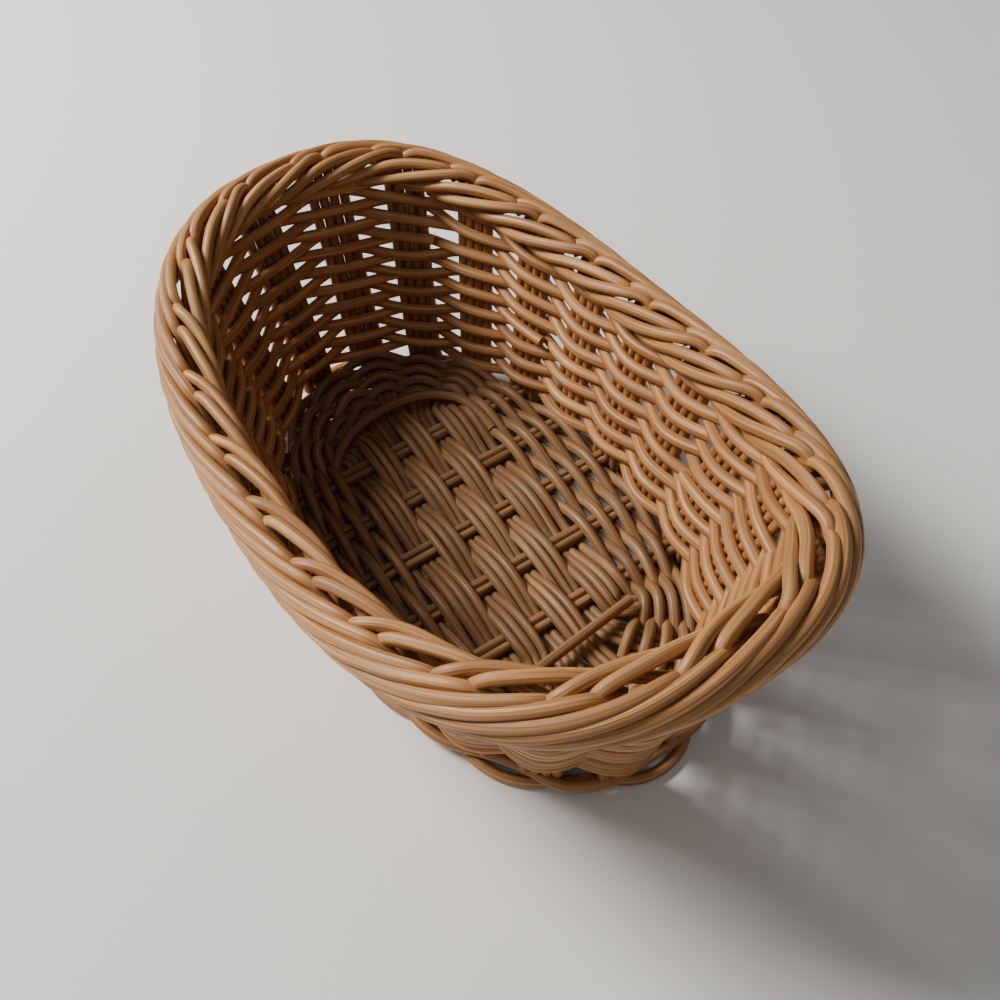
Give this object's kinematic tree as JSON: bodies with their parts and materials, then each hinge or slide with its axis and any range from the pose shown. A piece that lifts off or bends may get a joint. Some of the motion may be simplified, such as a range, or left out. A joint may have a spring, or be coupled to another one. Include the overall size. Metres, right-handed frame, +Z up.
{
  "type": "oval woven cane proofing basket",
  "caption": "Oval hand-woven cane basket with high ends, low sides, flared open-weave walls, a woven floor, a low foot and a thick rolled border.",
  "frame": {"origin": "on the table plane, under the middle of the oval rim", "axes": "+X along the basket towards its taller end, which flares more, +Y across it, +Z up"},
  "size_m": [0.2202, 0.1322, 0.0875],
  "materials": {
    "border_cane": "satin round cane with fine lines along it, the brightest and most handled",
    "wall_cane": "satin round cane with fine lines along it",
    "stake_cane": "satin round cane, a little darker where it is covered",
    "foot_cane": "satin round cane, scuffed underneath",
    "floor_cane": "satin round cane, a little paler and drier"
  },
  "bodies": {
    "root": {"border_inner_strands": "border_cane", "border_outer_strands": "border_cane", "end_stakes": "stake_cane", "floor_cross_bundle_1": "floor_cane", "floor_cross_bundle_2": "floor_cane", "floor_cross_bundle_3": "floor_cane", "floor_cross_bundle_4": "floor_cane", "floor_cross_bundle_5": "floor_cane", "floor_long_bundle_1": "floor_cane", "floor_long_bundle_2": "floor_cane", "floor_long_bundle_3": "floor_cane", "floor_long_bundle_4": "floor_cane", "floor_long_bundle_5": "floor_cane", "floor_long_bundle_6": "floor_cane", "floor_starter_cane": "floor_cane", "floor_tail_cane": "floor_cane", "floor_weaver_1": "floor_cane", "floor_weaver_2": "floor_cane", "floor_weaver_3": "floor_cane", "floor_weaver_4": "floor_cane", "floor_weaver_5": "floor_cane", "floor_weaver_6": "floor_cane", "floor_weaver_7": "floor_cane", "floor_weaver_8": "floor_cane", "foot_cane_1": "foot_cane", "foot_cane_2": "foot_cane", "side_stakes": "stake_cane", "wall_short_far_1": "wall_cane", "wall_short_far_2": "wall_cane", "wall_short_far_3": "wall_cane", "wall_short_far_4": "wall_cane", "wall_short_near_1": "wall_cane", "wall_short_near_2": "wall_cane", "wall_short_near_3": "wall_cane", "wall_short_near_4": "wall_cane", "wall_weaver_01": "wall_cane", "wall_weaver_02": "wall_cane", "wall_weaver_03": "wall_cane", "wall_weaver_04": "wall_cane", "wall_weaver_05": "wall_cane", "wall_weaver_06": "wall_cane", "wall_weaver_07": "wall_cane", "wall_weaver_08": "wall_cane", "wall_weaver_09": "wall_cane", "wall_weaver_10": "wall_cane", "wall_weaver_11": "wall_cane", "wall_weaver_12": "wall_cane", "wall_weaver_13": "wall_cane", "wall_weaver_14": "wall_cane", "wall_weaver_15": "wall_cane"}
  },
  "joints": []
}
